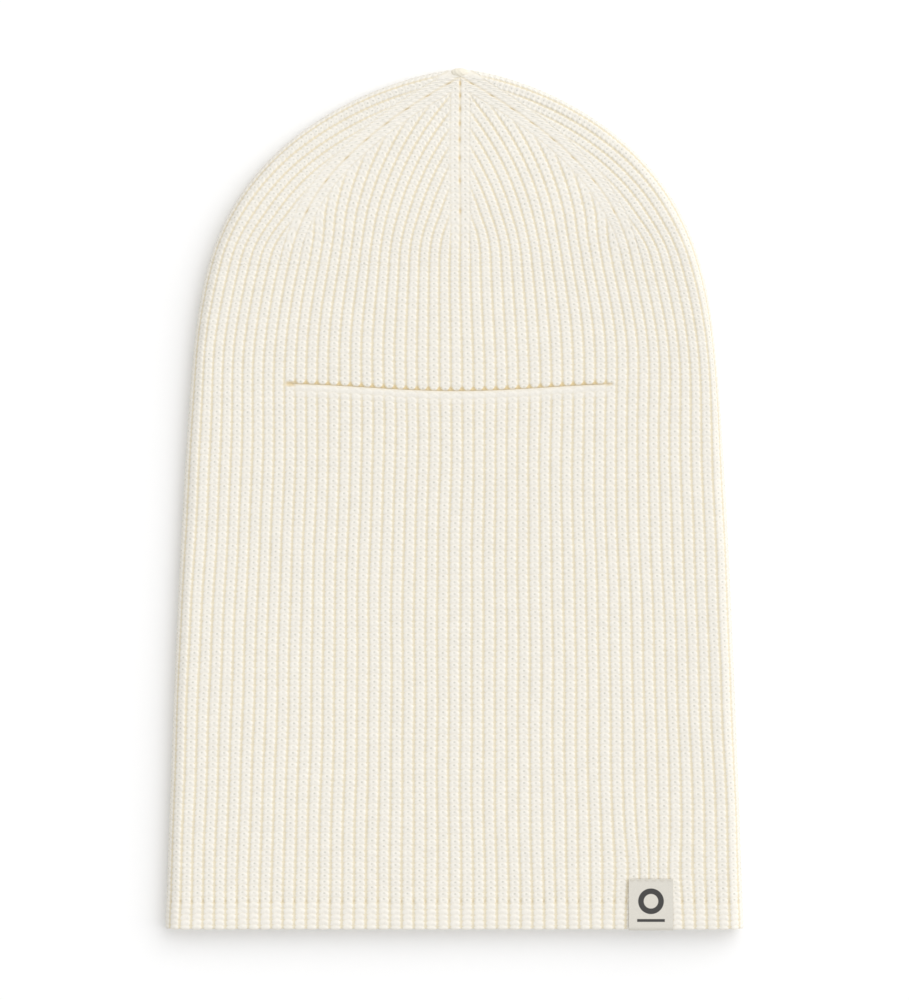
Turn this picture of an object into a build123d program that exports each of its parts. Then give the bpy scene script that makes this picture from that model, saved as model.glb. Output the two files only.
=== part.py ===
from build123d import *
import os

# A knitted balaclava lying flat on its back: a tube of thick rib knit with a six-gore crown,
# one straight face slit, a ribbed hem band and a small woven label folded over the hem.
# Millimetres. +X is the right side, +Y points to the crown, +Z is up through the face side.
# The origin is under the middle of the piece, on the surface that it lies on.

# ---- driving dimensions -------------------------------------------------------------------
length = 386.0              # crown tip to hem edge
hem_width = 260.0           # flat width at the hem
side_taper = 14.0           # how far each side draws in, evenly, from hem to tip
crown_taper = 16.0          # further draw-in of each side, most of it near the tip
round_depth = 148.0         # tip down to where the crown starts to round
round_power = 3.6           # how late the crown turns in
round_exponent = 0.65       # how blunt the tip is

thickness = 12.0            # two layers and the slack hollow between them
wall = 3.0                  # one layer of rib knit
edge_radius = 5.5           # roll of the knit at the side folds

gore_depth = 86.4           # tip down to where the six gores start
gore_width = 78.0           # flat width of one front gore at its start
seam_shift = 2.4            # the crown's centre lies this far right of the middle
tip_gather = 2.2            # the gathered point lies this far below the tip's outline
seam_round = 2.2            # how late the gore seams turn in
seam_lean = 0.2             # the part of the seams' inward lean that is even

slit_drop = 143.3           # tip down to the face slit
slit_width = 147.0
slit_shift = -1.5           # the slit's middle lies this far left of centre
slit_gap = 0.6              # the slit lies closed
lip_depth = 5.0             # plain knitted edge along each lip
upper_lip_depth = 45.0      # slit to where the upper lip stops lifting
lower_lip_depth = 40.0      # slit to where the lower lip stops lifting
lip_root_width = 80.0       # width of each lip's lifting part at its root

fold_height = 98.0          # hem edge up to the line where the neck turns up
hem_height = 12.6           # ribbed hem band
panel_reach = 0.73          # where flat panels stop on the way from the gore seam to the side

label_width = 20.0
label_height = 22.5         # outside leg, from the hem edge up
label_tuck = 9.0            # inside leg
label_inset = 32.0          # from the hem's side to the label's near edge
label_sheet = 0.5           # woven tape
label_clearance = 0.1
thread = 0.3
stitch_length = 2.2
stitch_width = 0.6
stitch_count = 6

seam_ridge_width = 3.0      # linked seam inside the centre back
seam_ridge_height = 0.9
yarn_radius = 1.5           # yarn that gathers the crown tip
yarn_depth = 6.0            # the gathered point down to the yarn
seam_stop = 12.0            # the gathered point down to the top of the linked seam
tack_length = 5.0           # worked bar inside each end of the slit
tack_width = 1.6
tack_height = 0.7

body_gap = 0.3              # between parts that move against each other

# ---- places that follow from them ---------------------------------------------------------
inner_radius = edge_radius - wall
hollow = thickness - 2 * wall
label_wrap = label_sheet + label_clearance
hem_y = label_wrap - (length + label_wrap) / 2
tip_y = hem_y + length
middle_z = thickness / 2
gore_y = tip_y - gore_depth
gather_y = tip_y - tip_gather
slit_y = tip_y - slit_drop
upper_root_y = slit_y + upper_lip_depth
lower_root_y = slit_y - lower_lip_depth
fold_y = hem_y + fold_height
band_y = hem_y + hem_height
outside = hem_width         # comfortably past every edge


def half_width(y):
    """Half of the flat width at a height y: an even taper, then the round of the crown."""
    share = (y - hem_y) / length
    turn = min(1.0, max(0.0, 1 - (tip_y - y) / round_depth))
    flat = hem_width / 2 - side_taper * share - crown_taper * share**4
    return flat * (1 - turn**round_power) ** round_exponent


def seam_offset(y):
    """How far a side seam of the crown lies from the crown's centre line at a height y."""
    climb = (y - gore_y) / (gather_y - gore_y)
    return gore_width * (1 - seam_lean * climb - (1 - seam_lean) * climb**seam_round)


seam_x = seam_shift + gore_width
side_x = seam_x + panel_reach * (half_width(gore_y) - seam_x)
body_shares = [0.0, 0.25, 0.5, 0.62]
crown_shares = [0.7, 0.77, 0.83, 0.88, 0.925, 0.96, 0.985]
seam_shares = [0.0, 0.2, 0.4, 0.6, 0.8, 0.93, 1.0]


def plan_outline(inset, foot_y):
    """Flat outline of the tube, drawn in by an inset, closed by a straight line at its foot."""
    top_y = tip_y - inset
    heights = [foot_y] + [hem_y + share * length for share in body_shares[1:] + crown_shares]
    right = [(half_width(y) - inset, min(y, top_y)) for y in heights]
    left = [(-x, y) for x, y in reversed(right)]
    with BuildSketch() as outline:
        with BuildLine():
            Spline(*right, (0, top_y), *left, tangents=[(-0.03, 1), (-0.03, -1)])
            Line(left[-1], right[0])
        make_face()
    return outline.sketch


# ---- the whole knitted tube, cut into its parts further down ------------------------------
with BuildPart() as outer_form:
    add(plan_outline(0.0, hem_y))
    extrude(amount=thickness)
    side_walls = outer_form.faces().filter_by(Axis.Z, reverse=True).sort_by(Axis.Y)[1:]
    rims = side_walls.edges().filter_by(lambda edge: edge.bounding_box().size.Z < wall)
    fillet(rims, radius=edge_radius)

with BuildPart() as hollow_form:
    add(plan_outline(wall, hem_y - wall))
    extrude(amount=hollow)
    side_walls = hollow_form.faces().filter_by(Axis.Z, reverse=True).sort_by(Axis.Y)[1:]
    rims = side_walls.edges().filter_by(lambda edge: edge.bounding_box().size.Z < wall)
    fillet(rims, radius=inner_radius)

with BuildPart() as knit_tube:
    add(outer_form.part)
    with Locations((0, 0, wall)):
        add(hollow_form.part, mode=Mode.SUBTRACT)


def finish(piece, name):
    """Name a finished piece and write it."""
    piece.part.label = name
    export_step(piece.part, f"parts/{name}.step")


def knit_piece(name, corners, low_z=0.0, high_z=thickness):
    """The stretch of the knitted tube inside a flat polygon, between two heights."""
    with BuildPart() as piece:
        add(knit_tube.part)
        with BuildSketch(Plane.XY.offset(low_z)):
            with BuildLine():
                Polyline(*corners, close=True)
            make_face()
        extrude(amount=high_z - low_z, mode=Mode.INTERSECT)
    finish(piece, name)


def rectangle(x0, x1, y0, y1):
    """Corners of an upright rectangle in the plan."""
    return [(x0, y0), (x1, y0), (x1, y1), (x0, y1)]


def gore_piece(name, side, low_z, high_z):
    """A front or back gore: from the crown's centre line out to its side seam."""
    heights = [gore_y + share * (gather_y - gore_y) for share in seam_shares]
    seam = [(seam_shift + side * seam_offset(y), y) for y in heights]
    with BuildPart() as piece:
        add(knit_tube.part)
        with BuildSketch(Plane.XY.offset(low_z)):
            with BuildLine():
                Spline(*seam)
                Line(seam[-1], (seam_shift, gore_y))
                Line((seam_shift, gore_y), seam[0])
            make_face()
        extrude(amount=high_z - low_z, mode=Mode.INTERSECT)
    finish(piece, name)


def side_gore_piece(name, side):
    """A side gore: it wraps round the fold, from the front side seam to the back one."""
    heights = [gore_y + share * (gather_y - gore_y) for share in seam_shares]
    seam = [(seam_shift + side * seam_offset(y), y) for y in heights]
    with BuildPart() as piece:
        add(knit_tube.part)
        with BuildSketch():
            with BuildLine():
                Spline(*seam)
                Polyline(seam[-1], (seam_shift, outside), (side * outside, outside),
                         (side * outside, gore_y), seam[0])
            make_face()
        extrude(amount=thickness, mode=Mode.INTERSECT)
    finish(piece, name)


os.makedirs("parts", exist_ok=True)

# ---- crown: six gores and the yarn that gathers their tips --------------------------------
gore_piece("crown_gore_front_left", -1, middle_z, thickness)
gore_piece("crown_gore_front_right", 1, middle_z, thickness)
gore_piece("crown_gore_back_left", -1, 0.0, middle_z)
gore_piece("crown_gore_back_right", 1, 0.0, middle_z)
side_gore_piece("crown_gore_side_left", -1)
side_gore_piece("crown_gore_side_right", 1)

with BuildPart() as gather_yarn:
    with Locations((seam_shift, gather_y - yarn_depth, middle_z)):
        Cylinder(yarn_radius, hollow)
finish(gather_yarn, "crown_gather_yarn")

# ---- face side of the head: six flat areas around the two lips ----------------------------
slit_left = slit_shift - slit_width / 2
slit_right = slit_shift + slit_width / 2
root_left = slit_shift - lip_root_width / 2
root_right = slit_shift + lip_root_width / 2
forehead_y = upper_root_y + body_gap
chin_y = lower_root_y - body_gap


def beside_lip(direction, depth, side, y):
    """The edge of the knit beside a lip at a height y, one body_gap clear of its slanted side."""
    run = (slit_width - lip_root_width) / 2
    rise = depth - slit_gap / 2
    drawn_in = run * (direction * (y - slit_y) - slit_gap / 2) / rise
    clear = body_gap * (run**2 + rise**2) ** 0.5 / rise
    return slit_shift + side * (slit_width / 2 - drawn_in + clear)


knit_piece("forehead_panel", rectangle(-side_x, side_x, forehead_y, gore_y), middle_z)
knit_piece("chin_panel", rectangle(-side_x, side_x, fold_y + body_gap, chin_y), middle_z)
for side_name, side in (("left", -1), ("right", 1)):
    temple = [(side * side_x, slit_y),
              (beside_lip(1, upper_lip_depth, side, slit_y), slit_y),
              (beside_lip(1, upper_lip_depth, side, forehead_y), forehead_y),
              (side * side_x, forehead_y)]
    cheek = [(side * side_x, slit_y),
             (beside_lip(-1, lower_lip_depth, side, slit_y), slit_y),
             (beside_lip(-1, lower_lip_depth, side, chin_y), chin_y),
             (side * side_x, chin_y)]
    knit_piece(f"temple_{side_name}", temple, middle_z)
    knit_piece(f"cheek_{side_name}", cheek, middle_z)
    tack_x = slit_shift + side * (slit_width / 2 + 2 * body_gap)
    with BuildPart() as slit_tack:
        with Locations((tack_x, slit_y, thickness - wall - tack_height / 2)):
            Box(tack_width, tack_length, tack_height)
    finish(slit_tack, f"slit_tack_{side_name}")


# ---- the two lips of the slit, each with its plain knitted edge ---------------------------
def lip_pieces(name, direction, depth):
    """A lip's lifting panel and its edge; direction is 1 above the slit and -1 below it."""
    edge_y = slit_y + direction * slit_gap / 2
    join_y = edge_y + direction * lip_depth
    root_y = slit_y + direction * depth
    draw_in = (slit_width - lip_root_width) / 2 * lip_depth / depth
    edge = [(slit_left, edge_y), (slit_right, edge_y),
            (slit_right - draw_in, join_y), (slit_left + draw_in, join_y)]
    panel = [(slit_left + draw_in, join_y), (slit_right - draw_in, join_y),
             (root_right, root_y), (root_left, root_y)]
    knit_piece(f"{name}_edge", edge, middle_z)
    knit_piece(f"{name}_panel", panel, middle_z)


lip_pieces("upper_lip", 1, upper_lip_depth)
lip_pieces("lower_lip", -1, lower_lip_depth)

# ---- back and side folds of the head ------------------------------------------------------
knit_piece("head_back_panel", rectangle(-side_x, side_x, fold_y + body_gap, gore_y), 0.0, middle_z)
knit_piece("side_fold_left", rectangle(-outside, -side_x, fold_y + body_gap, gore_y))
knit_piece("side_fold_right", rectangle(side_x, outside, fold_y + body_gap, gore_y))

# ---- neck below the turn-up line, with its hem band ---------------------------------------
knit_piece("neck_front_panel", rectangle(-side_x, side_x, band_y, fold_y), middle_z)
knit_piece("neck_back_panel", rectangle(-side_x, side_x, band_y, fold_y), 0.0, middle_z)
knit_piece("neck_side_left", rectangle(-outside, -side_x, hem_y, fold_y))
knit_piece("neck_side_right", rectangle(side_x, outside, hem_y, fold_y))
knit_piece("hem_band_front", rectangle(-side_x, side_x, hem_y, band_y), middle_z)
knit_piece("hem_band_back", rectangle(-side_x, side_x, hem_y, band_y), 0.0, middle_z)


# ---- linked seam inside the centre back, in two runs that meet at the turn-up line --------
def back_seam(name, low_y, high_y):
    """A low ridge on the inside of the back layer."""
    place = (0, (low_y + high_y) / 2, wall + seam_ridge_height / 2)
    with BuildPart() as seam:
        with Locations(place):
            Box(seam_ridge_width, high_y - low_y, seam_ridge_height)
    finish(seam, name)


back_seam("back_seam_neck", hem_y, fold_y)
back_seam("back_seam_head", fold_y + body_gap, gather_y - seam_stop)

# ---- woven label folded over the front hem, and the stitches along its top edge -----------
label_x = hem_width / 2 - label_inset - label_width / 2
label_top_z = thickness + label_clearance
label_low_z = thickness - wall - label_clearance - label_sheet

with BuildPart() as label:
    with BuildSketch(Plane.YZ.offset(label_x - label_width / 2)):
        with BuildLine():
            Polyline(
                (hem_y + label_height, label_top_z),
                (hem_y - label_clearance, label_top_z),
                (hem_y - label_clearance, label_low_z + label_sheet),
                (hem_y + label_tuck, label_low_z + label_sheet),
                (hem_y + label_tuck, label_low_z),
                (hem_y - label_wrap, label_low_z),
                (hem_y - label_wrap, label_top_z + label_sheet),
                (hem_y + label_height, label_top_z + label_sheet),
                close=True,
            )
        make_face()
    extrude(amount=label_width)
finish(label, "woven_label")

stitch_pitch = label_width / stitch_count
stitch_y = hem_y + label_height - stitch_width
with BuildPart() as label_stitches:
    with Locations((label_x, stitch_y, label_top_z + label_sheet + thread / 2)):
        with GridLocations(stitch_pitch, 1, stitch_count, 1):
            Box(stitch_length, stitch_width, thread)
finish(label_stitches, "label_stitches")
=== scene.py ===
import math

import bpy
import numpy as np
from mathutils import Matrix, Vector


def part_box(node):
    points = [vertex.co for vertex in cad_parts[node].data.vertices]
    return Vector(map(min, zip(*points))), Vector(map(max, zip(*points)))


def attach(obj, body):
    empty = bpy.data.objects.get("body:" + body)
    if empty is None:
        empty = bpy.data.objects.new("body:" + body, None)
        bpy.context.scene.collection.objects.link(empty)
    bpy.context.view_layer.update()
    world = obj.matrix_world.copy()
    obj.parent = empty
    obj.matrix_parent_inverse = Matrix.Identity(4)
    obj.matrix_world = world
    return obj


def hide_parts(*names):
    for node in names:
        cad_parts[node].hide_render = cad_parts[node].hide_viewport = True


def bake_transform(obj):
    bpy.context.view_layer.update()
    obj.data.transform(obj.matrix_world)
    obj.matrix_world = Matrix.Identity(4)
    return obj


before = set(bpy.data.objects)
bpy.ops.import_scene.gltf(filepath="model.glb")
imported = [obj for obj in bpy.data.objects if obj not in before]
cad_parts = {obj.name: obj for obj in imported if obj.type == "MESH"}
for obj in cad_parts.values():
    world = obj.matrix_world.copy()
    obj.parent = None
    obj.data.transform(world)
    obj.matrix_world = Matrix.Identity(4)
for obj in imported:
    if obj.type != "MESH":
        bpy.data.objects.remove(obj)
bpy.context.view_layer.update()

# ---- Camera -------------------------------------------------------------------------------
# The balaclava lies flat on its back on a pale table and is seen from straight above, with the
# crown away from the viewer. A long lens keeps both sides of the tube equally foreshortened.
view_height = 0.450
camera_height = 2.6
camera_data = bpy.data.cameras.new("camera")
camera = bpy.data.objects.new("camera", camera_data)
bpy.context.scene.collection.objects.link(camera)
camera_data.sensor_fit = "VERTICAL"
camera_data.sensor_height = 24.0
camera_data.sensor_width = 24.0
camera_data.lens = camera_data.sensor_height * camera_height / view_height
camera.location = (0.0, -0.0004, camera_height)
bpy.context.scene.camera = camera


# ---- The knitted tube ---------------------------------------------------------------------
# One tube of heavy cream wool in 1x1 rib, 102 ribs round: 51 show on the face side and the
# outer ones roll round the two side folds to the back. It is knitted from the hem upwards and
# narrows a little all the way, so the ribs stay whole and draw closer together.
def low(node):
    """The lowest corner of a frame node, in millimetres."""
    return np.array(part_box(node)[0]) * 1000


def high(node):
    """The highest corner of a frame node, in millimetres."""
    return np.array(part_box(node)[1]) * 1000


hem_y = low("hem_band_front")[1]
band_y = high("hem_band_front")[1]
fold_y = high("neck_front_panel")[1]
lower_root_y = low("lower_lip_panel")[1]
slit_y = (high("lower_lip_edge")[1] + low("upper_lip_edge")[1]) / 2
upper_root_y = high("upper_lip_panel")[1]
gore_y = high("forehead_panel")[1]
tip_y = high("crown_gore_side_left")[1]
hem_half = high("neck_side_right")[0]
body_roll = high("side_fold_left")[2] / 2
tip_roll = 3.6
tip_length = 70.0
side_taper = 14.0
crown_taper = 16.0
round_depth = 148.0
round_power = 3.6
round_exponent = 0.65
quarter_ribs = 25.5
rib_spread = 0.02
forehead_spread = 0.045
forehead_rise = 18.0
forehead_reach = 32.0


def smooth(t):
    """An even S-shaped ramp from 0 to 1."""
    t = np.clip(t, 0.0, 1.0)
    return t * t * (3 - 2 * t)


def half_width(y):
    """Half the flat width at height y: an even taper, then the round of the crown."""
    share = (y - hem_y) / (tip_y - hem_y)
    turn = np.clip(1 - (tip_y - y) / round_depth, 0.0, 1.0)
    flat = hem_half - side_taper * share - crown_taper * share**4
    return flat * (1 - turn**round_power) ** round_exponent


def side_fold(y):
    """At height y: where the flat part ends, its level, the plan direction out, and the roll."""
    y = np.minimum(y, tip_y - 1e-4)
    step = np.minimum(0.5, 0.1 * (tip_y - y))
    slope = (half_width(y + step) - half_width(y - step)) / (2 * step)
    out_x = 1 / np.hypot(1, slope)
    out_y = -slope * out_x
    roll = body_roll - (body_roll - tip_roll) * smooth((y - tip_y + tip_length) / tip_length)
    flat = np.maximum(half_width(y) - roll * out_x, 0.0)
    return flat, y - roll * out_y, out_x, out_y, roll


def tube(around, y):
    """The point, and the direction out, at a distance round the tube from the face's middle."""
    flat, level, out_x, out_y, roll = side_fold(y)
    side = np.where(around < 0, -1.0, 1.0)
    reach = np.abs(around)
    turn = np.clip((reach - flat) / roll, 0.0, math.pi)
    back = np.maximum(reach - flat - math.pi * roll, 0.0)
    x = side * (np.minimum(reach, flat) + roll * np.sin(turn) * out_x - back)
    point = np.stack([x, level + roll * np.sin(turn) * out_y, roll + roll * np.cos(turn)], -1)
    out = np.stack([side * np.sin(turn) * out_x, np.sin(turn) * out_y, np.cos(turn)], -1)
    return point, out


def around_at(rib, y):
    """The distance round the tube from the face's middle to a rib, in the plain part."""
    flat, _, _, _, roll = side_fold(y)
    quarter = flat + roll * math.pi / 2
    above_slit = y - slit_y - forehead_rise
    spread = rib_spread + forehead_spread * np.exp(-((above_slit / forehead_reach) ** 2))
    share = np.abs(rib) / quarter_ribs
    near = np.where(share > 1, 2 - share, share)
    reach = quarter * ((1 + spread) * near - spread * near**3)
    return np.sign(rib) * np.where(share > 1, 2 * quarter - reach, reach)


slit_sag = 3.2
slit_lift = 2.2
slit_reach = 26.0
sag_half_width = 80.0
sway_size = 0.22
slit_drift = 0.8
drift_reach = 60.0
label_pull = 0.22
wave_height = 0.35
label_x = (low("woven_label")[0] + high("woven_label")[0]) / 2
label_top = high("woven_label")[1]


def settle(point, out):
    """Lets the face layer sag at the slit and lie a little unevenly, as it does on a table."""
    x, y = point[..., 0].copy(), point[..., 1].copy()
    sway = np.sin(x / 23 + y / 31 + 1.0) + 0.7 * np.sin(y / 17 - x / 47)
    sway += 0.5 * np.sin(y / 9 + x / 12)
    beside_slit = slit_drift * np.exp(-(((y - slit_y) / drift_reach) ** 2))
    point[..., 0] += out[..., 2] ** 2 * (sway_size * sway + beside_slit)
    off = x - label_x
    pull = np.exp(-((off / 14) ** 2) - ((y - label_top - 3) / 15) ** 2)
    face = np.clip(out[..., 2], 0.0, 1.0)
    point[..., 0] -= label_pull * off * pull * face
    near_slit = face * np.exp(-(((y - slit_y) / slit_reach) ** 2))
    dip = np.cos(np.clip(x / sag_half_width, -1, 1) * math.pi / 2) ** 2
    point[..., 1] += near_slit * (slit_lift - slit_sag * dip)
    waves = np.sin(x / 37 + 0.8) * np.sin(y / 53 + 2.1) + np.sin(x / 19 - y / 41 + 4.0) * 0.5
    waves += np.sin(x / 71 + y / 29) * 0.6
    point[..., 2] += face * wave_height * (waves - 1.2)
    return point


# ---- The rib stitch -----------------------------------------------------------------------
# Each rib is a raised column of V-shaped loops about 5 mm wide with a thin valley beside it,
# and a small eyelet shows between the two legs of every loop. The yarn is about 1.5 mm thick.
stitch_height = 2.64
leg_slant = 0.32
rib_depth = 0.40
row_depth = 0.25
rib_crown = 0.08
eyelet_depth = 0.28
rows_per_stitch = 5
wall = 2.8
inner_rib_height = 0.55
random = np.random.default_rng(7)
drift_ribs = np.arange(-60, 61)
drift = np.cumsum(random.normal(0, 0.10, drift_ribs.size)) * 0.6
drift += random.normal(0, 0.06, drift_ribs.size)


def relief(rib, stitch, valley_share=1.0, eyelets=1.0):
    """How far the surface lies below the crests, in mm; ribs meet in valleys at whole numbers."""
    across = np.abs(rib - np.floor(rib) - 0.5) * 2
    loop = stitch + leg_slant * across
    legs = 0.5 - 0.5 * np.cos(2 * math.pi * loop)
    valley = smooth((across - 0.44 - 0.14 * legs) / 0.44)
    part = stitch - np.floor(stitch) - 0.5
    eyelet = np.exp(-((across / 0.24) ** 2) - (part / 0.20) ** 2)
    drop = rib_depth * valley_share * valley + row_depth * (1 - legs) * (1 - 0.6 * valley)
    return drop + rib_crown * across**2 + eyelet_depth * eyelets * eyelet


def knit_mesh(name, outer, inner, outward, inward, knit_uv, shares):
    """A closed shell of knit from a fine outer grid, a coarse inner grid and the rims between."""
    rows, columns = outer.shape[:2]
    inner_rows, inner_columns = inner.shape[:2]
    fine = np.arange(rows * columns).reshape(rows, columns)
    coarse = rows * columns + np.arange(inner_rows * inner_columns).reshape(inner_rows, -1)
    down, across = (rows - 1) // (inner_rows - 1), (columns - 1) // (inner_columns - 1)

    def quads(grid, flip):
        corners = [grid[:-1, :-1], grid[:-1, 1:], grid[1:, 1:], grid[1:, :-1]]
        return np.stack(corners[::-1] if flip else corners, -1).reshape(-1, 4)

    def rim(fine_edge, coarse_edge, step, flip):
        ends = np.arange(coarse_edge.size - 1)
        fans = [fine_edge[ends * step + i] for i in range(step + 1)]
        faces = np.stack(fans + [coarse_edge[ends + 1], coarse_edge[ends]], -1)
        return faces[:, ::-1] if flip else faces

    groups = [quads(fine, False), quads(coarse, True),
              rim(fine[0], coarse[0], across, True), rim(fine[-1], coarse[-1], across, False),
              rim(fine[:, -1], coarse[:, -1], down, True), rim(fine[:, 0], coarse[:, 0], down, False)]
    loops = np.concatenate([group.ravel() for group in groups])
    sizes = np.concatenate([np.full(len(group), group.shape[1]) for group in groups])
    points = np.concatenate([outer.reshape(-1, 3), inner.reshape(-1, 3)]) / 1000
    normals = np.concatenate([outward.reshape(-1, 3), inward.reshape(-1, 3)])

    mesh = bpy.data.meshes.new(name)
    mesh.vertices.add(len(points))
    mesh.vertices.foreach_set("co", points.astype(np.float32).ravel())
    mesh.loops.add(len(loops))
    mesh.loops.foreach_set("vertex_index", loops.astype(np.int32))
    mesh.polygons.add(len(sizes))
    mesh.polygons.foreach_set("loop_start", (np.cumsum(sizes) - sizes).astype(np.int32))
    mesh.update(calc_edges=True)
    on_face = np.arange(len(sizes)) < len(groups[0]) + len(groups[1])
    mesh.polygons.foreach_set("use_smooth", on_face)

    inner_uv = knit_uv[::down, ::across].reshape(-1, 2)
    uv = np.concatenate([knit_uv.reshape(-1, 2), inner_uv])[loops]
    mesh.uv_layers.new(name="knit").data.foreach_set("uv", uv.astype(np.float32).ravel())
    for title, grid in shares.items():
        values = np.concatenate([grid.ravel(), grid[::down, ::across].ravel()])
        layer = mesh.attributes.new(title, "FLOAT", "POINT")
        layer.data.foreach_set("value", values.astype(np.float32))
    mesh.normals_split_custom_set_from_vertices(normals.tolist())
    piece = bpy.data.objects.new(name, mesh)
    bpy.context.scene.collection.objects.link(piece)
    return piece


def grid_normals(points):
    """Unit directions out of a grid of points whose columns run right and rows run up."""
    normal = np.cross(np.gradient(points, axis=1), np.gradient(points, axis=0))
    return normal / np.maximum(np.linalg.norm(normal, axis=-1, keepdims=True), 1e-12)


def knit_piece(name, surface, ribs, rows):
    """Knits one area: surface(ribs, rows) gives its smooth shape, relief and stitch numbers."""
    wide_ribs = np.concatenate([[2 * ribs[0] - ribs[1]], ribs, [2 * ribs[-1] - ribs[-2]]])
    wide_rows = np.concatenate([[2 * rows[0] - rows[1]], rows, [2 * rows[-1] - rows[-2]]])
    point, out, drop, inner_drop, rib, stitch, shares = surface(*np.meshgrid(wide_ribs, wide_rows))
    outer = point - out * drop[..., None]
    inner = point - out * inner_drop[..., None]
    crop = (slice(1, -1), slice(1, -1))
    thin = (slice(1, -1, rows_per_stitch), slice(1, -1, 2))
    return knit_mesh(name, outer[crop], inner[thin], grid_normals(outer)[crop],
                     -grid_normals(inner)[thin], np.stack([rib, stitch], -1)[crop],
                     {title: (grid + 0 * rib)[crop] for title, grid in shares.items()})


def inner_wall(rib, thickness):
    """Depth of the inside surface, whose own ribs stand behind the outside's valleys."""
    across = np.abs(rib - np.floor(rib) - 0.5) * 2
    return thickness - inner_rib_height * (1 - across) ** 3


# ---- Stitches up the body, from the hem to where the gores start --------------------------
# The hem is cast on and its first five rows are a tighter band of plain rib. Above it the rib
# runs unbroken to the crown, except at the slit, where the knitting is parted in two lips.
turn_half = 12.0
marks = [hem_y, band_y, fold_y - turn_half, fold_y + turn_half, lower_root_y, slit_y,
         upper_root_y, gore_y]
counts = [0, 5] + [round((b - a) / stitch_height) for a, b in zip(marks[1:-1], marks[2:])]
mark_stitches = np.cumsum(counts)
slit_stitch = mark_stitches[5]
slit_ribs = (-15.5, 14.5)
lip_ribs = (-8.5, 7.5)
side_ribs = (-33.5, -16.5, 17.5, 34.5)
back_ribs = (-50.5, 51.5)
edge_half = 0.4
edge_reach = 1.5
band_pit = 0.5
end_pit_depth = 0.6
plain_below_slit = 6.0
scallop = 2.1
scallop_depth = 0.15
lip_meeting = 0.04


def height_of(stitch):
    """Height of a row, running on evenly past both ends."""
    y = np.interp(stitch, mark_stitches, marks)
    y = np.where(stitch < 0, hem_y + stitch * stitch_height, y)
    past = stitch - mark_stitches[-1]
    return np.where(past > 0, gore_y + past * stitch_height, y)


def edge_roll(distance):
    """How far a free edge's surface has rolled in at a distance from it."""
    reach = np.clip(1 - distance / edge_reach, 0.0, 1.0)
    return edge_half * (1 - np.sqrt(1 - reach**2))


def body_surface(lip):
    """The surface of the body; lip is 1 for the area above the slit, -1 below it, 0 elsewhere."""

    def surface(rib, stitch):
        if lip:
            stitch = np.maximum(stitch, slit_stitch) if lip > 0 else np.minimum(stitch, slit_stitch)
        stitch = np.maximum(stitch, 0)
        y = height_of(stitch)
        point, out = tube(around_at(rib, y), y)
        phase = rib + 0.5
        count = stitch + np.interp(rib, drift_ribs, drift)
        face = np.clip(out[..., 2], 0.0, 1.0)
        across = np.abs(phase - np.floor(phase) - 0.5) * 2
        in_band = 1 - smooth((y - band_y + 1) / 1.5)
        opening = face * smooth((rib - slit_ribs[0]) / 1.5) * smooth((slit_ribs[1] - rib) / 1.5)
        from_slit = np.abs(y - slit_y)
        below = opening * (y <= slit_y)
        fade = 1 - below * 0.85 * (1 - smooth((from_slit - 1.5) / plain_below_slit))
        eyelets = (1 - in_band) * fade
        drop = relief(phase, count, fade * (1 - 0.15 * in_band), eyelets)
        pits = np.exp(-(((y - band_y) / 0.9) ** 2)) * across**6
        drop += band_pit * pits
        # painted shade: the pits at the top of the hem band are coloured darker and warmer
        gap_shade = 0.5 * pits
        inner_drop = inner_wall(phase, wall)
        roll = edge_roll(y - hem_y)
        if lip:
            roll = np.maximum(roll, edge_roll(from_slit) * opening)
            point[..., 1] += lip * opening * lip_meeting * np.exp(-((from_slit / 3) ** 2))
            left_end = (rib - slit_ribs[0] - 0.55) / 0.45
            right_end = (rib - slit_ribs[1] + 0.7) / 0.35
            end_pit = np.exp(-(left_end**4) - (from_slit / 1.15) ** 4)
            end_pit += 0.8 * np.exp(-(right_end**4) - (from_slit / 0.6) ** 4)
            # painted shade along the closed slit and in the openings at its ends, where the inside shows
            line = opening * (1 - smooth((from_slit - 0.1) / 0.6))
            gap_shade = np.maximum(0.55 * line, 0.85 * end_pit)
            drop = drop + end_pit_depth * end_pit
            if lip > 0:
                # painted shade in the notches of the scalloped upper edge, where the inside shows
                peak = scallop * np.clip((across - 0.3) / 0.7, 0, 1)
                notch = opening * smooth((peak - from_slit + 0.2) / 0.7)
                gap_shade = np.maximum(gap_shade, notch)
                drop = drop + scallop_depth * notch
        point[..., 1] += 0.5 * across**3 * np.exp(-(((y - hem_y) / 1.5) ** 2))
        drop = np.minimum(drop + roll, wall - 0.4 - roll * 0.85)
        inner_drop = inner_drop - roll
        drop = np.minimum(drop, inner_drop - 0.25)
        shares = {"valley": fade, "eyelets": eyelets, "gap_shade": gap_shade}
        return settle(point, out), out, drop, inner_drop, phase, count, shares

    return surface


def columns(first, last):
    """Rib numbers from one valley to another: ten to a rib in front and six behind."""
    stops = sorted({first, last} | {s for s in (-quarter_ribs, quarter_ribs) if first < s < last})
    runs = []
    for a, b in zip(stops[:-1], stops[1:]):
        per_rib = 10 if abs(a + b) / 2 < quarter_ribs else 6
        runs.append(np.linspace(a, b, round((b - a) * per_rib) + 1))
    return np.concatenate([runs[0]] + [run[1:] for run in runs[1:]])


def rows_between(first, last):
    """Row numbers between two of the marks up the body."""
    a, b = mark_stitches[first], mark_stitches[last]
    return np.linspace(a, b, (b - a) * rows_per_stitch + 1)


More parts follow.
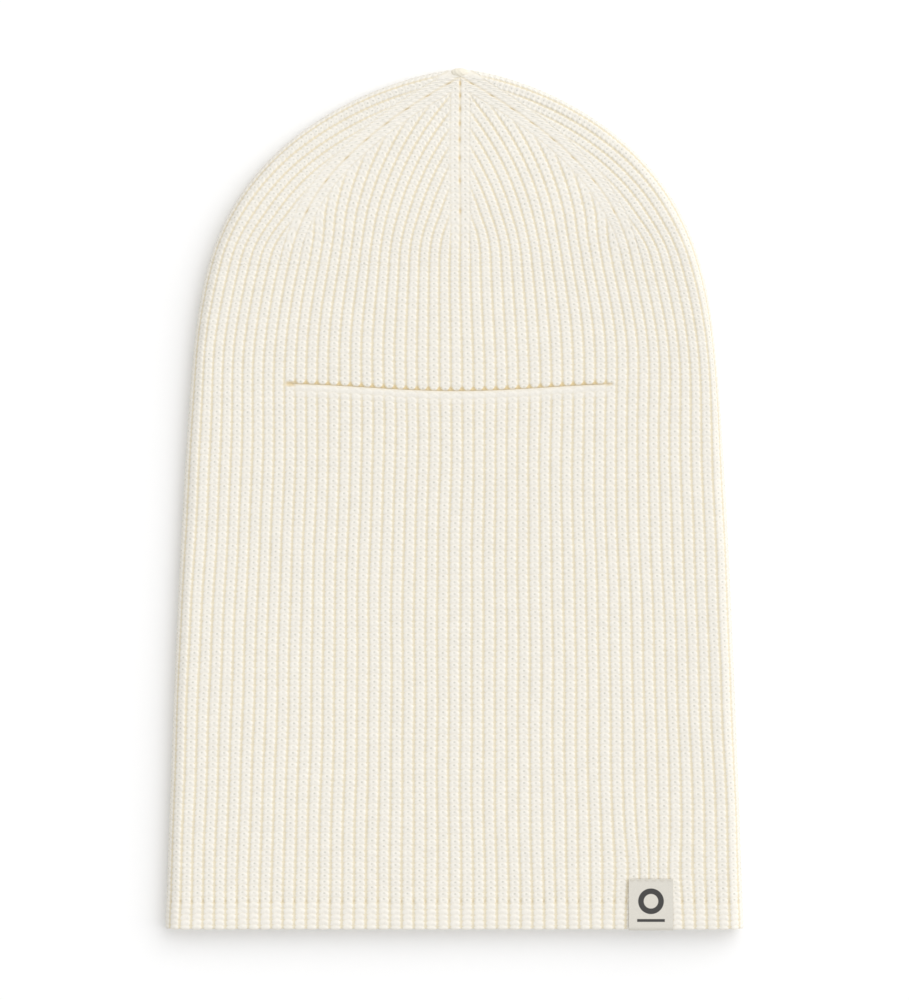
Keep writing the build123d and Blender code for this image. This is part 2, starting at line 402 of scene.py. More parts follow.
# ---- Wool yarn, knitted -------------------------------------------------------------------
# Undyed lambswool, matt and slightly fuzzy. The crests keep the wool's own cream; valleys, eyelets,
# rows and gaps get painted shade, darker and warmer, for their shade and the light through the yarn.
def colour(code):
    """A sRGB hex colour as linear values."""
    parts = [int(code[i:i + 2], 16) / 255 for i in (1, 3, 5)]
    return [p / 12.92 if p <= 0.04045 else ((p + 0.055) / 1.055) ** 2.4 for p in parts] + [1.0]


def add_node(material, kind, links, **settings):
    """Adds one node with its settings; links gives each input a value, a node or an output."""
    tree = material.node_tree
    made = tree.nodes.new(kind)
    for name, value in settings.items():
        setattr(made, name, value)
    for socket, value in links.items():
        if isinstance(value, bpy.types.Node):
            value = value.outputs[0]
        if isinstance(value, bpy.types.NodeSocket):
            tree.links.new(value, made.inputs[socket])
        else:
            made.inputs[socket].default_value = value
    return made


def new_material(name):
    """An empty material and its surface shader."""
    material = bpy.data.materials.new(name)
    material.use_nodes = True
    return material, material.node_tree.nodes["Principled BSDF"]


# Cream lambswool in rib stitch. The pattern follows the rib and stitch numbers in the knit map.
# The crest colour is the wool's own; the valley, eyelet and deep colours are painted shade.
crest_colour = colour("#f2eee5")
valley_shade_colour = colour("#e9dfc7")
eyelet_shade_colour = colour("#d3d1c6")
gap_shade_colour = colour("#dfca9d")
fibre_size = 0.0011
loop_patch_size = 0.004
tone_patch_size = 0.006
strands_per_rib = 10
cream_wool, wool_shader = new_material("cream_lambswool")
knit_map = add_node(cream_wool, "ShaderNodeUVMap", {}, uv_map="knit")
knit_axes = add_node(cream_wool, "ShaderNodeSeparateXYZ", {0: knit_map})
rib, stitch = knit_axes.outputs[0], knit_axes.outputs[1]
place = add_node(cream_wool, "ShaderNodeTexCoord", {}).outputs["Object"]
valley_share = add_node(cream_wool, "ShaderNodeAttribute", {}, attribute_name="valley")
eyelet_share = add_node(cream_wool, "ShaderNodeAttribute", {}, attribute_name="eyelets")
# painted shade in pits, along the slit, in the notches and in the crown's holes and seams
gap_shade_share = add_node(cream_wool, "ShaderNodeAttribute", {}, attribute_name="gap_shade")
fuzz = add_node(cream_wool, "ShaderNodeTexNoise",
                {"Vector": place, "Scale": 1 / fibre_size, "Detail": 3.0, "Roughness": 0.6})
loop_patches = add_node(cream_wool, "ShaderNodeTexNoise",
                        {"Vector": place, "Scale": 1 / loop_patch_size, "Detail": 1.0, "Roughness": 0.6})
tone_patches = add_node(cream_wool, "ShaderNodeTexNoise",
                        {"Vector": place, "Scale": 1 / tone_patch_size, "Detail": 2.0, "Roughness": 0.6})

# across and along run from 1 at a valley, or between two rows, to 0 at the middle of a loop
rib_half = add_node(cream_wool, "ShaderNodeMath", {0: rib, 1: 0.5}, operation="PINGPONG")
across = add_node(cream_wool, "ShaderNodeMath", {0: rib_half, 1: -2.0, 2: 1.0}, operation="MULTIPLY_ADD")
row_half = add_node(cream_wool, "ShaderNodeMath", {0: stitch, 1: 0.5}, operation="PINGPONG")
along = add_node(cream_wool, "ShaderNodeMath", {0: row_half, 1: -2.0, 2: 1.0}, operation="MULTIPLY_ADD")

# painted shade of the eyelet between the legs of each loop, more open in some patches than in others
eye_x = add_node(cream_wool, "ShaderNodeMath", {0: across, 1: 0.27}, operation="DIVIDE")
eye_y = add_node(cream_wool, "ShaderNodeMath", {0: along, 1: 0.42}, operation="DIVIDE")
off_eye = add_node(cream_wool, "ShaderNodeCombineXYZ", {0: eye_x, 1: eye_y})
from_eye = add_node(cream_wool, "ShaderNodeVectorMath", {0: off_eye}, operation="LENGTH")
eye_edge = add_node(cream_wool, "ShaderNodeMapRange",
                    {0: from_eye.outputs["Value"], 1: 0.2, 2: 1.15, 3: 1.0, 4: 0.0},
                    interpolation_type="SMOOTHSTEP")
eye = add_node(cream_wool, "ShaderNodeMath", {0: eye_edge, 1: eyelet_share.outputs["Fac"]},
               operation="MULTIPLY")
eye_open = add_node(cream_wool, "ShaderNodeMapRange", {0: loop_patches, 1: 0.35, 2: 0.65, 3: 0.45, 4: 1.0},
                    interpolation_type="SMOOTHSTEP")
eyelet_shade_amount = add_node(cream_wool, "ShaderNodeMath", {0: eye, 1: eye_open}, operation="MULTIPLY")

# the slanting legs of the loops, and the ply of the yarn in them
loop = add_node(cream_wool, "ShaderNodeMath", {0: across, 1: leg_slant, 2: stitch}, operation="MULTIPLY_ADD")
loop_half = add_node(cream_wool, "ShaderNodeMath", {0: loop, 1: 0.5}, operation="PINGPONG")
leg = add_node(cream_wool, "ShaderNodeMapRange", {0: loop_half, 1: 0.0, 2: 0.2, 3: 0.0, 4: 1.0},
               interpolation_type="SMOOTHSTEP")
strands = add_node(cream_wool, "ShaderNodeMath", {0: rib, 1: strands_per_rib / 2, 2: loop},
                   operation="MULTIPLY_ADD")
twist = add_node(cream_wool, "ShaderNodeMath", {0: strands, 1: 0.25}, operation="PINGPONG")

# painted shade of the valley beside each rib, with a ragged edge from the loops and the loose fibres
fuzz_edge = add_node(cream_wool, "ShaderNodeMath", {0: fuzz, 1: 0.36}, operation="MULTIPLY")
wander = add_node(cream_wool, "ShaderNodeMath", {0: leg, 1: 0.16, 2: fuzz_edge}, operation="MULTIPLY_ADD")
valley_edge = add_node(cream_wool, "ShaderNodeMath", {0: across, 1: wander}, operation="SUBTRACT")
in_valley = add_node(cream_wool, "ShaderNodeMapRange", {0: valley_edge, 1: 0.33, 2: 0.58, 3: 0.0, 4: 1.0},
                     interpolation_type="SMOOTHSTEP")
valley_shade_amount = add_node(cream_wool, "ShaderNodeMath", {0: in_valley, 1: valley_share.outputs["Fac"]},
                         operation="MULTIPLY")

# the colour, layer over layer: the wool's cream, then painted shade in valleys, rows, eyelets and gaps
# painted shade between the rows of loops, in the valley colour
between_legs = add_node(cream_wool, "ShaderNodeMath", {0: 1.0, 1: leg}, operation="SUBTRACT")
row_shade_amount = add_node(cream_wool, "ShaderNodeMath", {0: between_legs, 1: 0.18}, operation="MULTIPLY")
ribs_drawn = add_node(cream_wool, "ShaderNodeMix", {0: valley_shade_amount, 6: crest_colour, 7: valley_shade_colour},
                      data_type="RGBA")
rows_drawn = add_node(cream_wool, "ShaderNodeMix",
                      {0: row_shade_amount, 6: ribs_drawn.outputs[2], 7: valley_shade_colour}, data_type="RGBA")
eyes_drawn = add_node(cream_wool, "ShaderNodeMix",
                      {0: eyelet_shade_amount, 6: rows_drawn.outputs[2], 7: eyelet_shade_colour}, data_type="RGBA")
ground = add_node(cream_wool, "ShaderNodeMix",
                  {0: gap_shade_share.outputs["Fac"], 6: eyes_drawn.outputs[2], 7: gap_shade_colour}, data_type="RGBA")
patch_tone = add_node(cream_wool, "ShaderNodeMapRange", {0: tone_patches, 1: 0.3, 2: 0.7, 3: 0.98, 4: 1.015},
                      interpolation_type="SMOOTHSTEP")
fibre_tone = add_node(cream_wool, "ShaderNodeMapRange", {0: fuzz, 1: 0.3, 2: 0.7, 3: 0.965, 4: 1.025},
                      interpolation_type="SMOOTHSTEP")
tone = add_node(cream_wool, "ShaderNodeMath", {0: patch_tone, 1: fibre_tone}, operation="MULTIPLY")
wool_colour = add_node(cream_wool, "ShaderNodeHueSaturation", {"Value": tone, "Color": ground.outputs[2]})

# the fine relief of legs, ply and fibres
leg_height = add_node(cream_wool, "ShaderNodeMath", {0: leg, 1: 0.3}, operation="MULTIPLY")
ply_height = add_node(cream_wool, "ShaderNodeMath", {0: twist, 1: 0.6}, operation="MULTIPLY")
yarn_height = add_node(cream_wool, "ShaderNodeMath", {0: leg_height, 1: ply_height}, operation="ADD")
height = add_node(cream_wool, "ShaderNodeMath", {0: fuzz, 1: 0.8, 2: yarn_height}, operation="MULTIPLY_ADD")
bump = add_node(cream_wool, "ShaderNodeBump", {"Height": height, "Strength": 0.4, "Distance": 0.0003})
cream_wool.node_tree.links.new(wool_colour.outputs[0], wool_shader.inputs["Base Color"])
cream_wool.node_tree.links.new(bump.outputs[0], wool_shader.inputs["Normal"])
wool_shader.inputs["Roughness"].default_value = 0.92
wool_shader.inputs["IOR"].default_value = 1.45
wool_shader.inputs["Specular IOR Level"].default_value = 0.2


def finish_knit(piece):
    """Gives a knitted area its yarn."""
    piece.data.materials.append(cream_wool)


# ---- Hem band and neck --------------------------------------------------------------------
# The neck is the plain tube from the hem to the line where it can be turned up. It moves as
# one with the hem band; the short stretch at the turn-up line is knitted as pieces of its own.
neck_areas = {
    "neck_face_knit": (side_ribs[1], side_ribs[2], ["neck_front_panel", "hem_band_front"]),
    "neck_left_knit": (side_ribs[0], side_ribs[1], ["neck_side_left"]),
    "neck_right_knit": (side_ribs[2], side_ribs[3], ["neck_side_right"]),
    "neck_back_left_knit": (back_ribs[0], side_ribs[0], ["neck_back_panel", "hem_band_back"]),
    "neck_back_right_knit": (side_ribs[3], back_ribs[1], ["neck_back_panel", "hem_band_back"]),
}
for name, (first, last, nodes) in neck_areas.items():
    piece = knit_piece(name, body_surface(0), columns(first, last), rows_between(0, 2))
    finish_knit(piece)
    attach(piece, "neck")
    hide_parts(*nodes)

turn_areas = {
    "turn_face_knit": (side_ribs[1], side_ribs[2]),
    "turn_left_knit": (side_ribs[0], side_ribs[1]),
    "turn_right_knit": (side_ribs[2], side_ribs[3]),
    "turn_back_left_knit": (back_ribs[0], side_ribs[0]),
    "turn_back_right_knit": (side_ribs[3], back_ribs[1]),
}
for name, (first, last) in turn_areas.items():
    piece = knit_piece(name, body_surface(0), columns(first, last), rows_between(2, 3))
    finish_knit(piece)
    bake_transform(piece)

# ---- Head ---------------------------------------------------------------------------------
# Above the turn-up line the same tube covers chin, cheeks, temples and the back of the head.
# The areas beside the slit run past its ends without a break.
slit_left, slit_right = slit_ribs
head_areas = {
    "chin_knit": (slit_left, slit_right, 3, 4, ["chin_panel"]),
    "forehead_knit": (slit_left, slit_right, 6, 7, ["forehead_panel"]),
    "head_left_knit": (side_ribs[0], slit_left, 3, 7, ["side_fold_left", "temple_left", "cheek_left"]),
    "head_right_knit": (slit_right, side_ribs[3], 3, 7,
                        ["side_fold_right", "temple_right", "cheek_right"]),
    "head_back_left_knit": (back_ribs[0], side_ribs[0], 3, 7, ["head_back_panel"]),
    "head_back_right_knit": (side_ribs[3], back_ribs[1], 3, 7, ["head_back_panel"]),
}
for name, (first, last, start, end, nodes) in head_areas.items():
    piece = knit_piece(name, body_surface(0), columns(first, last), rows_between(start, end))
    finish_knit(piece)
    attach(piece, "cap")
    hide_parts(*nodes)

# ---- Lips of the face slit ----------------------------------------------------------------
# The knitting is parted for 147 mm and each side is bound off. The upper edge is scalloped,
# one scallop to a rib, and below the slit the ribs fade into a few plain rows.
def body_point(rib, y):
    """A point of the smooth body in plan, in metres."""
    x, height, _ = settle(*tube(around_at(np.array(float(rib)), np.array(y)), np.array(y)))
    return np.array([x, height, 0.0]) / 1000


for lip, body, start, end, root_y in ((-1, "lower_lip", 4, 5, lower_root_y),
                                      (1, "upper_lip", 5, 6, upper_root_y)):
    for side, (first, last) in (("left", (slit_left, lip_ribs[0])), ("middle", lip_ribs),
                                ("right", (lip_ribs[1], slit_right))):
        piece = knit_piece(f"{body}_{side}_knit", body_surface(lip), columns(first, last),
                           rows_between(start, end))
        finish_knit(piece)
        if side == "middle":
            root = body_point(first, root_y)
            edge = body_point(first, slit_y)
            root[0] = edge[0] = 0
        else:
            end_rib, inner_rib = (first, last) if side == "left" else (last, first)
            root = body_point(inner_rib, root_y)
            along = body_point(end_rib, slit_y) - root
            along /= np.linalg.norm(along)
            reach = body_point(inner_rib, slit_y) - root
            edge = root + reach - along * (reach @ along)
        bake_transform(piece)
        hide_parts(f"{body}_panel", f"{body}_edge")

# ---- Crown --------------------------------------------------------------------------------
# Six gores, each 17 ribs wide at its foot, are narrowed by decreases every few rows along the
# lines where they meet. One whole rib runs up each side of such a line, the ribs between end
# against it, and the tips are gathered at the top.
crown_rows = 240
crown_end = 0.99
tip_shift = 2.4
seam_lean = 0.2
seam_round = 2.2
foot_length = 22.0
decrease_depth = 0.45
decrease_length = 1.3
decrease_width = 0.5
seam_width = 0.45
face_seam_open = 0.75
side_seam_open = 0.2
crown_stitch = mark_stitches[-1]


def crown_height(t):
    """Height of a crown row: rows draw closer together towards the tip."""
    return gore_y + (tip_y - gore_y) * np.sin(t * math.pi / 2)


def crown_share(level):
    """How much of its full width a gore still has at a level."""
    foot_level = side_fold(np.array(gore_y))[1]
    climb = np.clip((level - foot_level) / (tip_y - tip_roll - foot_level), 0.0, 1.0)
    return 1 - seam_lean * climb - (1 - seam_lean) * climb**seam_round


def seam_line(rib, t):
    """How far round the tube, and how far across the plan, the seam from a rib's foot has come."""
    flat, level, _, _, roll = side_fold(crown_height(t))
    foot_flat, _, _, _, foot_roll = side_fold(np.array(gore_y))
    foot = float(around_at(np.array(rib), np.array(gore_y)))
    share = crown_share(level)
    if abs(rib) < quarter_ribs:
        return foot * share, foot * share + tip_shift * (1 - share)
    across = math.copysign(2 * foot_flat + foot_roll * math.pi - abs(foot), rib) * share
    side = math.copysign(1, rib)
    return side * (2 * flat + roll * math.pi) - across, across + tip_shift * (1 - share)


def gore_surface(first, last):
    """The surface of a gore between the seams that start at two ribs."""
    middle_rib = (first + last) / 2
    side = math.copysign(1, middle_rib)

    def surface(rib, t):
        row = t[:, 0]
        y = crown_height(t)
        flat, level, out_x, out_y, roll = side_fold(crown_height(row))
        rise = np.gradient(level)
        share = crown_share(level)
        start, start_x = seam_line(first, row)
        end, end_x = seam_line(last, row)
        w = smooth((level - gore_y) / foot_length)[:, None]
        foot = around_at(rib, np.array(gore_y))
        foot_ends = around_at(np.array([first, last]), np.array(gore_y))
        grown = (foot - foot_ends[0]) / (foot_ends[1] - foot_ends[0])
        even = (rib - first) / (last - first)
        around = start[:, None] + (grown * (1 - w) + even * w) * (end - start)[:, None]
        point, out = tube(around, y)
        point[..., 0] += tip_shift * (1 - share[:, None])

        pitch = (end[0] - start[0]) / (last - first)
        if side_ribs[1] < middle_rib < side_ribs[2] or abs(middle_rib) > side_ribs[3]:
            facing = 1 if abs(middle_rib) < quarter_ribs else -1
            middle_x = (start_x + end_x) / 2
            lean = facing * np.arctan2(np.gradient(middle_x), rise)[:, None]
            off = around - ((start + end) / 2)[:, None]
            inner_rib = middle_rib + off * np.cos(lean) / pitch
            climb = np.cumsum(np.hypot(np.gradient(middle_x), rise))[:, None] + off * np.sin(lean)
        else:
            fold = (flat + roll * math.pi / 2)[:, None]
            quarter_turn = (roll * math.pi / 2)[:, None]
            rolled = np.clip(np.abs(around) - fold, -quarter_turn, quarter_turn)
            plain = np.abs(around) - fold - rolled
            inner_rib = side * (quarter_ribs + (rolled + plain * out_x[:, None]) / pitch)
            climb = np.cumsum(np.hypot(np.gradient(flat), rise))[:, None]
            climb = climb + np.abs(plain) * out_y[:, None]
        inner_rib = rib * (1 - w) + inner_rib * w

        def beside(line, line_x, foot_rib, direction):
            run = np.hypot(np.gradient(line_x), rise)
            away = (around - line[:, None]) * direction * (rise / run)[:, None] / pitch
            away = (rib - foot_rib) * direction * (1 - w) + away * w
            count = np.cumsum(run)[:, None] / stitch_height + np.interp(foot_rib, drift_ribs, drift)
            return away, count, run

        from_start, start_count, start_run = beside(start, start_x, first, 1)
        from_end, end_count, end_run = beside(end, end_x, last, -1)
        nearest = np.minimum(from_start, from_end)
        edge_count = crown_stitch + np.where(from_start < from_end, start_count, end_count)
        inner_count = crown_stitch + climb / stitch_height + np.interp(rib, drift_ribs, drift)
        at_edge = nearest < 1
        count = np.where(at_edge, edge_count * w + inner_count * (1 - w), inner_count)
        edge_phase = np.where(from_start < from_end, nearest, 1 - nearest)
        phase = np.where(at_edge, edge_phase, inner_rib + 0.5)

        calm = smooth((1 - t) / 0.06)
        clear = 1 - w * (0.6 - 0.6 * smooth((nearest - 0.8) / 1.0))
        eyelets = calm + 0 * w
        drop = relief(phase, count, calm * clear, eyelets)
        step = (1 - share) * (last - first) / 2 + 0.1
        run = np.where(from_start < from_end, start_run[:, None], end_run[:, None])
        step_rate = np.maximum(np.gradient(step), 1e-6)[:, None]
        off_step = (step - np.round(step))[:, None] * run / step_rate
        away = nearest * pitch
        hole = np.exp(-((off_step / decrease_length) ** 2) - (away / decrease_width) ** 2)
        hole = hole * (step > 0.5)[:, None] * calm
        hole = hole * (face_seam_open if abs(last) < 1 or abs(first) < 1 else side_seam_open)
        seam = np.exp(-((away / seam_width) ** 2)) * w * calm
        drop = drop + decrease_depth * hole + 0.04 * seam
        # painted shade in the decrease holes and along the seams
        gap_shade = np.clip(1.1 * hole + 0.15 * seam, 0, 1)
        thickness = np.minimum(wall, 0.72 * roll)[:, None] + 0 * y
        inner_drop = inner_wall(phase, thickness)
        drop = np.minimum(drop, inner_drop - 0.2)
        shares = {"valley": calm * clear, "eyelets": eyelets, "gap_shade": gap_shade}
        return settle(point, out), out, drop, inner_drop, phase, count, shares

    return surface


gores = {
    "crown_face_left_knit": (side_ribs[1], 0.5, "crown_gore_front_left"),
    "crown_face_right_knit": (0.5, side_ribs[2], "crown_gore_front_right"),
    "crown_side_left_knit": (side_ribs[0], side_ribs[1], "crown_gore_side_left"),
    "crown_side_right_knit": (side_ribs[2], side_ribs[3], "crown_gore_side_right"),
    "crown_back_left_knit": (back_ribs[0], side_ribs[0], "crown_gore_back_left"),
    "crown_back_right_knit": (side_ribs[3], back_ribs[1], "crown_gore_back_right"),
}
for name, (first, last, node) in gores.items():
    piece = knit_piece(name, gore_surface(first, last), columns(first, last),
                       np.linspace(0, crown_end, crown_rows + 1))
    finish_knit(piece)
    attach(piece, "cap")
    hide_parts(node)

# ---- Gathered tip, slit tacks and back seam -------------------------------------------------
# The last stitches of the gores are drawn together on a length of the same yarn and knotted.
# The yarn ends at both ends of the slit are worked in as short bars on the inside, and the tube
# is closed by a linked seam, a low ridge inside the centre back.
# Plied wool yarn: fine slanting strands over a soft, uneven ground.
strand_scale = 260.0
fibre_scale = 900.0
cream_yarn, yarn_shader = new_material("cream_wool_yarn")
place = add_node(cream_yarn, "ShaderNodeTexCoord", {}).outputs["Object"]
strands = add_node(cream_yarn, "ShaderNodeTexWave",
                   {"Vector": place, "Scale": strand_scale, "Distortion": 1.5},
                   bands_direction="DIAGONAL")
fibres = add_node(cream_yarn, "ShaderNodeTexNoise", {"Vector": place, "Scale": fibre_scale, "Detail": 3.0})
height = add_node(cream_yarn, "ShaderNodeMath", {0: strands.outputs["Fac"], 1: fibres}, operation="ADD")
bump = add_node(cream_yarn, "ShaderNodeBump", {"Height": height, "Strength": 0.4, "Distance": 0.0003})
cream_yarn.node_tree.links.new(bump.outputs[0], yarn_shader.inputs["Normal"])
yarn_shader.inputs["Base Color"].default_value = colour("#f0eada")
yarn_shader.inputs["Roughness"].default_value = 0.9
yarn_shader.inputs["Specular IOR Level"].default_value = 0.2


def yarn_bar(name, node, body, middle, size):
    """A rounded bar of yarn, of a size in mm, in place of a frame node."""
    bpy.ops.object.select_all(action="DESELECT")
    bpy.ops.mesh.primitive_uv_sphere_add(segments=28, ring_count=18, radius=0.5,
                                         location=[v / 1000 for v in middle])
    piece = bpy.context.object
    piece.name = name
    piece.scale = [v / 1000 for v in size]
    bpy.ops.object.transform_apply(location=False, rotation=False, scale=True)
    bpy.ops.object.shade_smooth()
    piece.data.materials.append(cream_yarn)
    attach(piece, body)
    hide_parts(node)


yarn_bar("gathered_tip", "crown_gather_yarn", "cap", (tip_shift, tip_y - 2.0, 4.4), (9.0, 4.6, 5.6))
for side_name in ("left", "right"):
    tack_low, tack_high = low(f"slit_tack_{side_name}"), high(f"slit_tack_{side_name}")
    yarn_bar(f"slit_tack_yarn_{side_name}", f"slit_tack_{side_name}", "cap",
             (tack_low + tack_high) / 2, tack_high - tack_low)


ridge_sides = 12
ridge_swell = 0.12


def seam_ridge(name, start, end):
    """A run of the linked seam between two heights: a rounded ridge inside the centre back."""
    rows = np.linspace(start, end, round((end - start) / stitch_height * 2) + 1)[:, None]
    turn = np.linspace(0, 2 * math.pi, ridge_sides, endpoint=False)[None, :]
    plump = 1 + ridge_swell * np.cos(2 * math.pi * rows / stitch_height)
    ridge = (high("back_seam_head") - low("back_seam_head")) / 2
    middle = (high("back_seam_head")[2] + low("back_seam_head")[2]) / 2
    points = np.stack([ridge[0] * plump * np.cos(turn), rows + 0 * turn,
                       middle + ridge[2] * plump * np.sin(turn)], -1).reshape(-1, 3) / 1000
    rings = np.arange(len(points)).reshape(len(rows), ridge_sides)
    beside = np.roll(rings, -1, axis=1)
    sides = np.stack([rings[:-1], rings[1:], beside[1:], beside[:-1]], -1).reshape(-1, 4)
    ends = [rings[0].tolist(), rings[-1, ::-1].tolist()]
    mesh = bpy.data.meshes.new(name)
    mesh.from_pydata(points.tolist(), [], sides.tolist() + ends)
    mesh.shade_smooth()
    piece = bpy.data.objects.new(name, mesh)
    bpy.context.scene.collection.objects.link(piece)
    piece.data.materials.append(cream_yarn)
    return piece


head_ridge = seam_ridge("head_seam_ridge", fold_y + turn_half, high("back_seam_head")[1])
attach(head_ridge, "cap")
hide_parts("back_seam_head")
turn_ridge = seam_ridge("turn_seam_ridge", fold_y - turn_half, fold_y + turn_half)
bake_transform(turn_ridge)
neck_ridge = seam_ridge("neck_seam_ridge", low("back_seam_neck")[1] + 1.0, fold_y - turn_half)
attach(neck_ridge, "neck")
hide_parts("back_seam_neck")

# ---- Woven label --------------------------------------------------------------------------
# A strip of woven polyester tape folded over the front hem. Only its outer leg shows, with a
# plain mark woven in dark yarn; a row of fine stitches along its top edge holds both legs.
label_low, label_high = low("woven_label"), high("woven_label")
tape = 0.5
inner_leg = 9.6
hem_turn = 1.8
label_margin = 0.1
weave_size = 0.00045
ring_centre = 13.2
ring_radius = 4.5
ring_half = 1.25
bar_height = 4.6
bar_half_length = 6.2
bar_half = 0.65
blur = 0.1

# Woven polyester tape with a plain ring over a short bar, set out in mm from the label's corner.
woven_tape, tape_shader = new_material("woven_polyester_tape")
place = add_node(woven_tape, "ShaderNodeTexCoord", {}).outputs["Object"]
axes = add_node(woven_tape, "ShaderNodeSeparateXYZ", {0: place})
mark_x = add_node(woven_tape, "ShaderNodeMath", {0: axes.outputs[0], 1: 1000.0, 2: -label_x},
                  operation="MULTIPLY_ADD")
mark_y = add_node(woven_tape, "ShaderNodeMath", {0: axes.outputs[1], 1: 1000.0, 2: -label_low[1]},
                  operation="MULTIPLY_ADD")
on_face = add_node(woven_tape, "ShaderNodeMapRange",
                   {0: axes.outputs[2], 1: (label_high[2] - 0.5) / 1000, 2: (label_high[2] - 0.3) / 1000})
ring_y = add_node(woven_tape, "ShaderNodeMath", {0: mark_y, 1: ring_centre}, operation="SUBTRACT")
x_squared = add_node(woven_tape, "ShaderNodeMath", {0: mark_x, 1: 2.0}, operation="POWER")
y_squared = add_node(woven_tape, "ShaderNodeMath", {0: ring_y, 1: 2.0}, operation="POWER")
squares = add_node(woven_tape, "ShaderNodeMath", {0: x_squared, 1: y_squared}, operation="ADD")
from_centre = add_node(woven_tape, "ShaderNodeMath", {0: squares}, operation="SQRT")
from_ring = add_node(woven_tape, "ShaderNodeMath", {0: from_centre, 1: ring_radius}, operation="SUBTRACT")
off_ring = add_node(woven_tape, "ShaderNodeMath", {0: from_ring}, operation="ABSOLUTE")
ring = add_node(woven_tape, "ShaderNodeMapRange", {0: off_ring, 1: ring_half + blur, 2: ring_half - blur})
bar_x = add_node(woven_tape, "ShaderNodeMath", {0: mark_x}, operation="ABSOLUTE")
bar_ends = add_node(woven_tape, "ShaderNodeMapRange",
                    {0: bar_x, 1: bar_half_length + blur, 2: bar_half_length - blur})
from_bar = add_node(woven_tape, "ShaderNodeMath", {0: mark_y, 1: bar_height}, operation="SUBTRACT")
off_bar = add_node(woven_tape, "ShaderNodeMath", {0: from_bar}, operation="ABSOLUTE")
bar_sides = add_node(woven_tape, "ShaderNodeMapRange", {0: off_bar, 1: bar_half + blur, 2: bar_half - blur})
bar = add_node(woven_tape, "ShaderNodeMath", {0: bar_ends, 1: bar_sides}, operation="MULTIPLY")
mark = add_node(woven_tape, "ShaderNodeMath", {0: ring, 1: bar}, operation="MAXIMUM")
marked = add_node(woven_tape, "ShaderNodeMath", {0: mark, 1: on_face}, operation="MULTIPLY")
weft_turn = add_node(woven_tape, "ShaderNodeMath", {0: axes.outputs[1], 1: 2 * math.pi / weave_size},
                     operation="MULTIPLY")
warp_turn = add_node(woven_tape, "ShaderNodeMath", {0: axes.outputs[0], 1: 2 * math.pi / weave_size},
                     operation="MULTIPLY")
weft = add_node(woven_tape, "ShaderNodeMath", {0: weft_turn}, operation="SINE")
warp = add_node(woven_tape, "ShaderNodeMath", {0: warp_turn}, operation="SINE")
weave = add_node(woven_tape, "ShaderNodeMath", {0: weft, 1: warp}, operation="MULTIPLY")
speckle = add_node(woven_tape, "ShaderNodeTexNoise", {"Vector": place, "Scale": 1800.0, "Detail": 2.0})
speckle_tone = add_node(woven_tape, "ShaderNodeMath", {0: speckle, 1: 0.12, 2: 0.94},
                        operation="MULTIPLY_ADD")
tape_tone = add_node(woven_tape, "ShaderNodeMath", {0: weave, 1: 0.03, 2: speckle_tone},
                     operation="MULTIPLY_ADD")
tint = add_node(woven_tape, "ShaderNodeMix", {0: marked, 6: colour("#dfdbd1"), 7: colour("#474645")},
                data_type="RGBA")
shade = add_node(woven_tape, "ShaderNodeHueSaturation", {"Value": tape_tone, "Color": tint.outputs[2]})
bump = add_node(woven_tape, "ShaderNodeBump", {"Height": weave, "Strength": 0.5, "Distance": 0.00006})
woven_tape.node_tree.links.new(shade.outputs[0], tape_shader.inputs["Base Color"])
woven_tape.node_tree.links.new(bump.outputs[0], tape_shader.inputs["Normal"])
tape_shader.inputs["Roughness"].default_value = 0.7
tape_shader.inputs["Specular IOR Level"].default_value = 0.3


def label_path():
    """Side view of the folded tape: up the inside, round the hem, then up the outside."""
    hem_line = label_low[1] + hem_turn
    outer_z = label_high[2] - label_margin / 2
    inner_z = label_low[2] + tape
    half = (outer_z - inner_z) / 2
    path = [(y, inner_z) for y in np.linspace(label_low[1] + inner_leg, hem_line, 6)]
    for angle in np.linspace(0, math.pi, 15)[1:-1]:
        path.append((hem_line - hem_turn * math.sin(angle), inner_z + half - half * math.cos(angle)))
    path += [(y, outer_z) for y in np.linspace(hem_line, label_high[1] - label_margin / 2, 12)]
    return np.array(path)


path = label_path()
across = np.linspace(label_low[0] + label_margin, label_high[0] - label_margin, 13)
along = np.gradient(path, axis=0)
along /= np.linalg.norm(along, axis=1, keepdims=True)
inward = np.stack([along[:, 1], -along[:, 0]], -1)
skins = []
for depth in (0.0, tape - label_margin):
    side_view = path + inward * depth
    skins.append([[(x, y, z) for x in across] for y, z in side_view])
points = np.array(skins) / 1000
corner, under = np.arange(points.size // 3).reshape(points.shape[:3])
faces = [np.stack([corner[:-1, :-1], corner[:-1, 1:], corner[1:, 1:], corner[1:, :-1]], -1).reshape(-1, 4),
         np.stack([under[:-1, :-1], under[1:, :-1], under[1:, 1:], under[:-1, 1:]], -1).reshape(-1, 4)]
for edge, low_edge in ((corner[0], under[0]), (corner[:, -1], under[:, -1]),
                       (corner[-1, ::-1], under[-1, ::-1]), (corner[::-1, 0], under[::-1, 0])):
    faces.append(np.stack([edge[:-1], low_edge[:-1], low_edge[1:], edge[1:]], -1))
label_mesh = bpy.data.meshes.new("label_tape")
label_mesh.from_pydata(points.reshape(-1, 3).tolist(), [], np.concatenate(faces).tolist())
label = bpy.data.objects.new("label_tape", label_mesh)
bpy.context.scene.collection.objects.link(label)
label.data.materials.append(woven_tape)
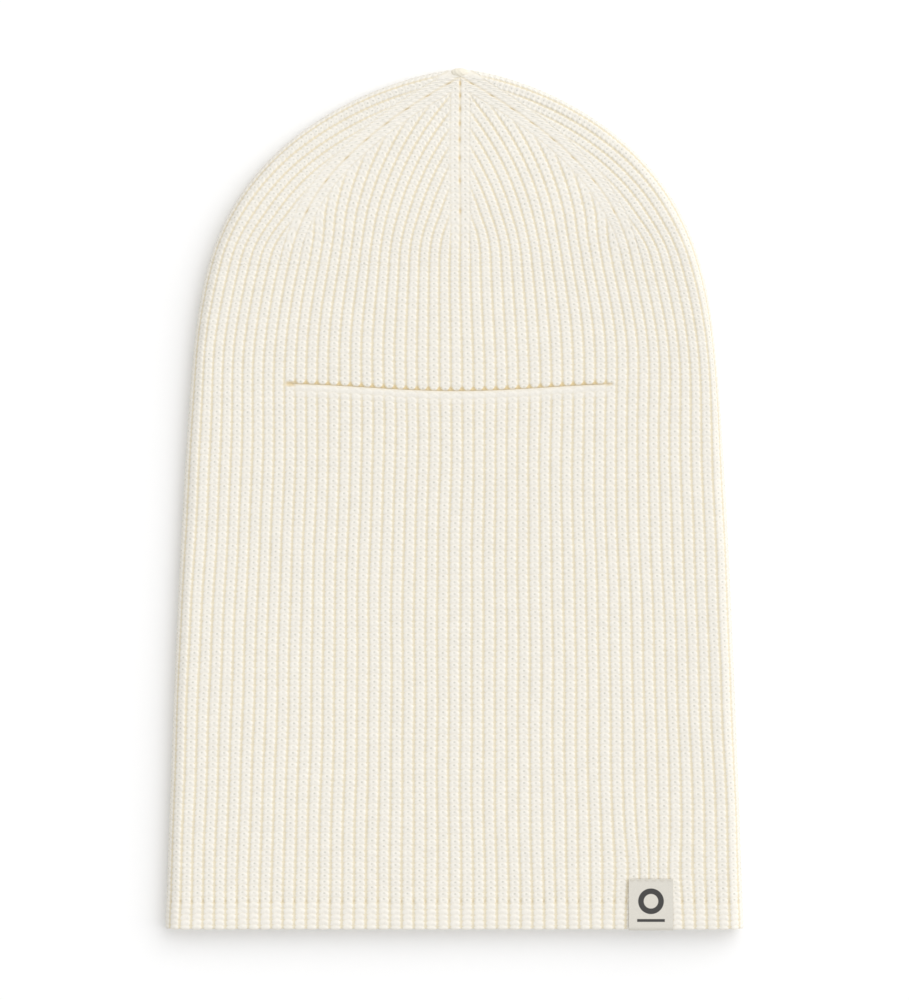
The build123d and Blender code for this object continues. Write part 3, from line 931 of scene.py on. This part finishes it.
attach(label, "neck")
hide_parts("woven_label")

stitch_low, stitch_high = low("label_stitches"), high("label_stitches")
stitch_count = 6
stitch_pitch = (label_high[0] - label_low[0]) / stitch_count
stitch_size = (0.0024, 0.00045, 0.0004)
thread, thread_shader = new_material("cream_sewing_thread")
thread_shader.inputs["Base Color"].default_value = colour("#d9d4c8")
thread_shader.inputs["Roughness"].default_value = 0.6
for i in range(stitch_count):
    bpy.ops.object.select_all(action="DESELECT")
    x = label_x + (i - (stitch_count - 1) / 2) * stitch_pitch
    bpy.ops.mesh.primitive_uv_sphere_add(segments=20, ring_count=12, radius=0.5,
                                         location=(x / 1000, (stitch_low[1] + stitch_high[1]) / 2000,
                                                   (label_high[2] + 0.05) / 1000))
    stitch_piece = bpy.context.object
    stitch_piece.name = f"label_stitch_{i + 1}"
    stitch_piece.scale = stitch_size
    bpy.ops.object.transform_apply(location=False, rotation=False, scale=True)
    bpy.ops.object.shade_smooth()
    stitch_piece.data.materials.append(thread)
    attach(stitch_piece, "neck")
    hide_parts("label_stitches")

# ---- Studio -------------------------------------------------------------------------------
# A white table under an even white sky, with one large soft light from the upper right.
bpy.ops.object.select_all(action="DESELECT")
bpy.ops.mesh.primitive_plane_add(size=8.0, location=(0, 0, 0))
table = bpy.context.object
table.name = "table"
white, white_shader = new_material("white_table")
white_shader.inputs["Base Color"].default_value = colour("#ffffff")
white_shader.inputs["Roughness"].default_value = 0.9
table.data.materials.append(white)

world = bpy.data.worlds.new("studio")
bpy.context.scene.world = world
world.use_nodes = True
world.node_tree.nodes["Background"].inputs["Color"].default_value = (1, 1, 1, 1)
world.node_tree.nodes["Background"].inputs["Strength"].default_value = 0.645
light_data = bpy.data.lights.new("soft_box", "SUN")
light_data.energy = 1.66
light_data.angle = math.radians(75)
soft_box = bpy.data.objects.new("soft_box", light_data)
bpy.context.scene.collection.objects.link(soft_box)
soft_box.rotation_euler = (math.radians(-22), math.radians(38), 0)
bpy.context.scene.view_settings.view_transform = "Standard"
